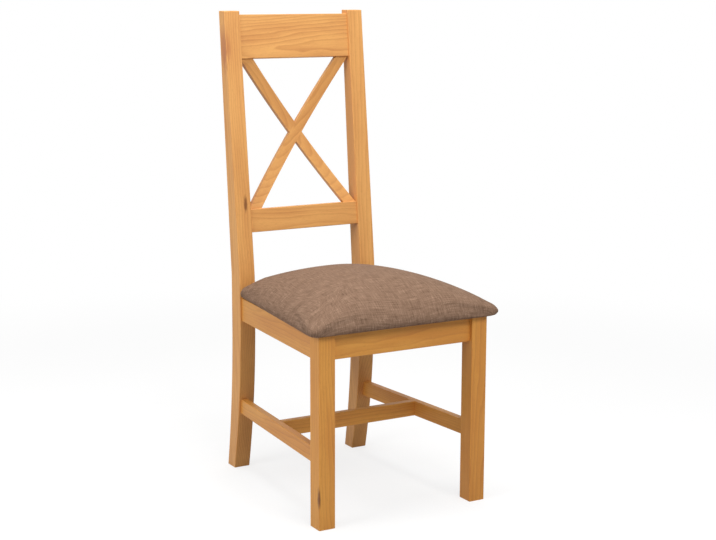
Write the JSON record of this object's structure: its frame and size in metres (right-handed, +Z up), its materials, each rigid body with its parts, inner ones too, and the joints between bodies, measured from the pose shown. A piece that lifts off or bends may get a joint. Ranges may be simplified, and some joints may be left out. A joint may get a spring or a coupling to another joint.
{
  "type": "cross back chair",
  "caption": "Wooden dining chair with a raked back filled by a bowed cross, a notched upholstered seat pad, and stretchers between straight front legs and swept rear posts.",
  "frame": {"origin": "on the floor, below the centre of the chair's overall width and depth", "axes": "+Z up along the chair's height, +Y towards the back, -Y towards the person's knees, +X to the right as the chair is seen from the front"},
  "size_m": [0.4622, 0.5419, 1.06],
  "materials": {
    "oak_upright": "satin lacquer over golden oak, grain running up",
    "oak_side": "satin lacquer over golden oak, grain running front to back",
    "oak_rail": "satin lacquer over golden oak, grain running side to side",
    "oak_slat_rising": "satin lacquer over golden oak, grain along the slat",
    "oak_slat_falling": "satin lacquer over golden oak, grain along the slat",
    "block_wood": "unfinished sawn wood",
    "plywood": "unfinished plywood",
    "foam": "open-cell seat foam",
    "linen_cover": "matte slubbed linen weave, warm grey-brown",
    "dust_cloth": "black non-woven cloth"
  },
  "bodies": {
    "root": {"front_leg_left": "oak_upright", "front_leg_right": "oak_upright", "rear_post_left": "oak_upright", "rear_post_right": "oak_upright", "side_seat_rail_left": "oak_side", "side_seat_rail_right": "oak_side", "side_stretcher_left": "oak_side", "side_stretcher_right": "oak_side", "centre_stretcher": "oak_rail", "front_seat_rail": "oak_rail", "rear_seat_rail": "oak_rail", "lower_back_rail": "oak_rail", "crest_rail": "oak_rail", "cross_slat_rising": "oak_slat_rising", "cross_slat_falling": "oak_slat_falling", "corner_block_front_left": "block_wood", "corner_block_front_right": "block_wood", "corner_block_rear_left": "block_wood", "corner_block_rear_right": "block_wood", "seat_board": "plywood", "seat_foam": "foam", "seat_cover": "linen_cover", "seat_dust_cover": "dust_cloth"}
  },
  "joints": []
}
